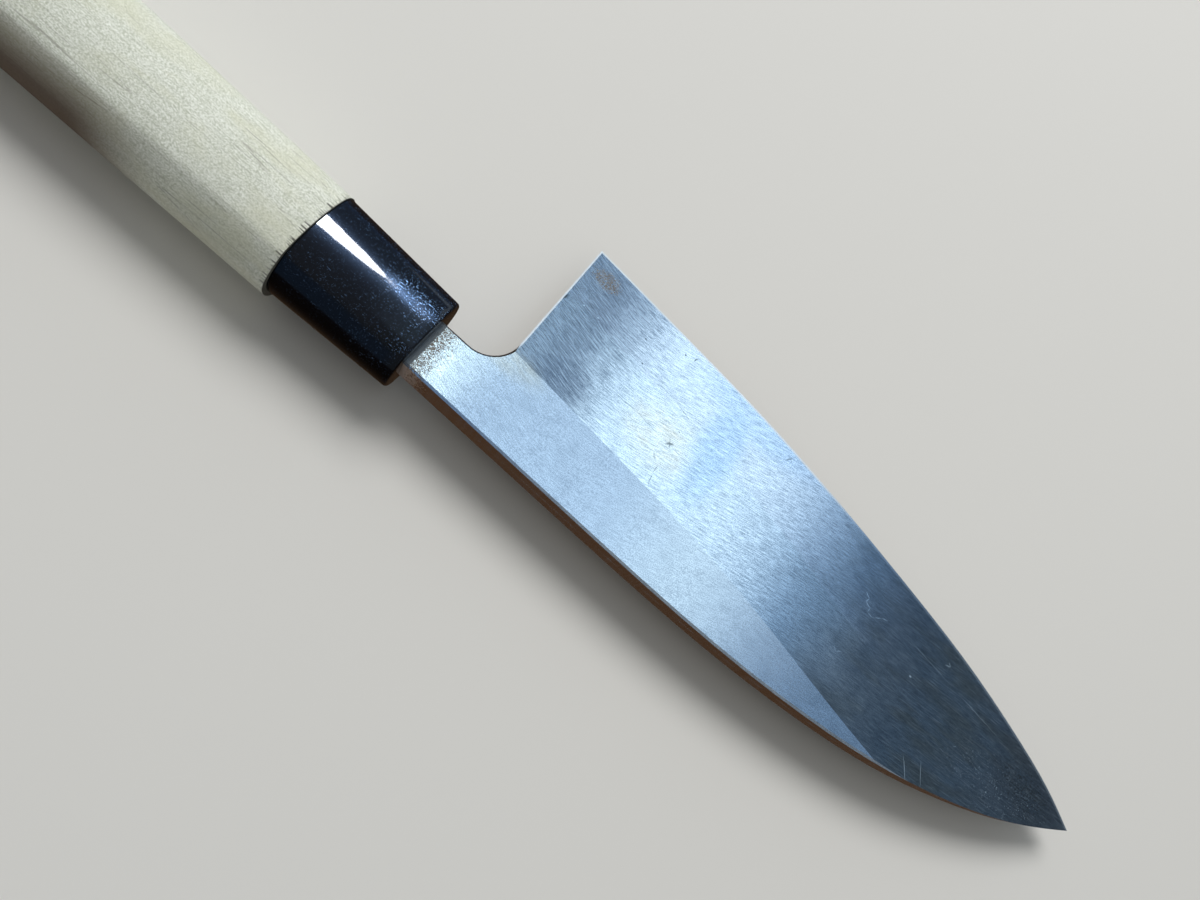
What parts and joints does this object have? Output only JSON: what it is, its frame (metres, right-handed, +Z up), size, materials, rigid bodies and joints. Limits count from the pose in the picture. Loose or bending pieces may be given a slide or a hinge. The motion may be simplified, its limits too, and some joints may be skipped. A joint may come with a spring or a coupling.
{
  "type": "deba knife",
  "caption": "Heavy single-bevel fish knife: laminated blade with a hollow-ground back, black ferrule and pale wooden handle.",
  "frame": {"origin": "centre of the bounding box in plan, on the plane that the knife lies on", "axes": "+X along the handle's axis towards the tip, +Y from the spine towards the cutting edge, +Z up out of the ground side; the knife lies on its hollow-ground back"},
  "size_m": [0.327, 0.0654, 0.0252],
  "materials": {
    "soft_iron": "satin ground soft iron with fine lengthwise lines and light patina",
    "hard_steel": "stone-honed carbon steel, brighter than the iron",
    "black_plastic": "glossy moulded plastic with fine scratches",
    "ho_wood": "bare sanded ho wood, pale grey ivory, fine straight grain"
  },
  "bodies": {
    "root": {"blade_iron": "soft_iron", "edge_steel": "hard_steel", "ferrule": "black_plastic", "handle": "ho_wood"}
  },
  "joints": []
}
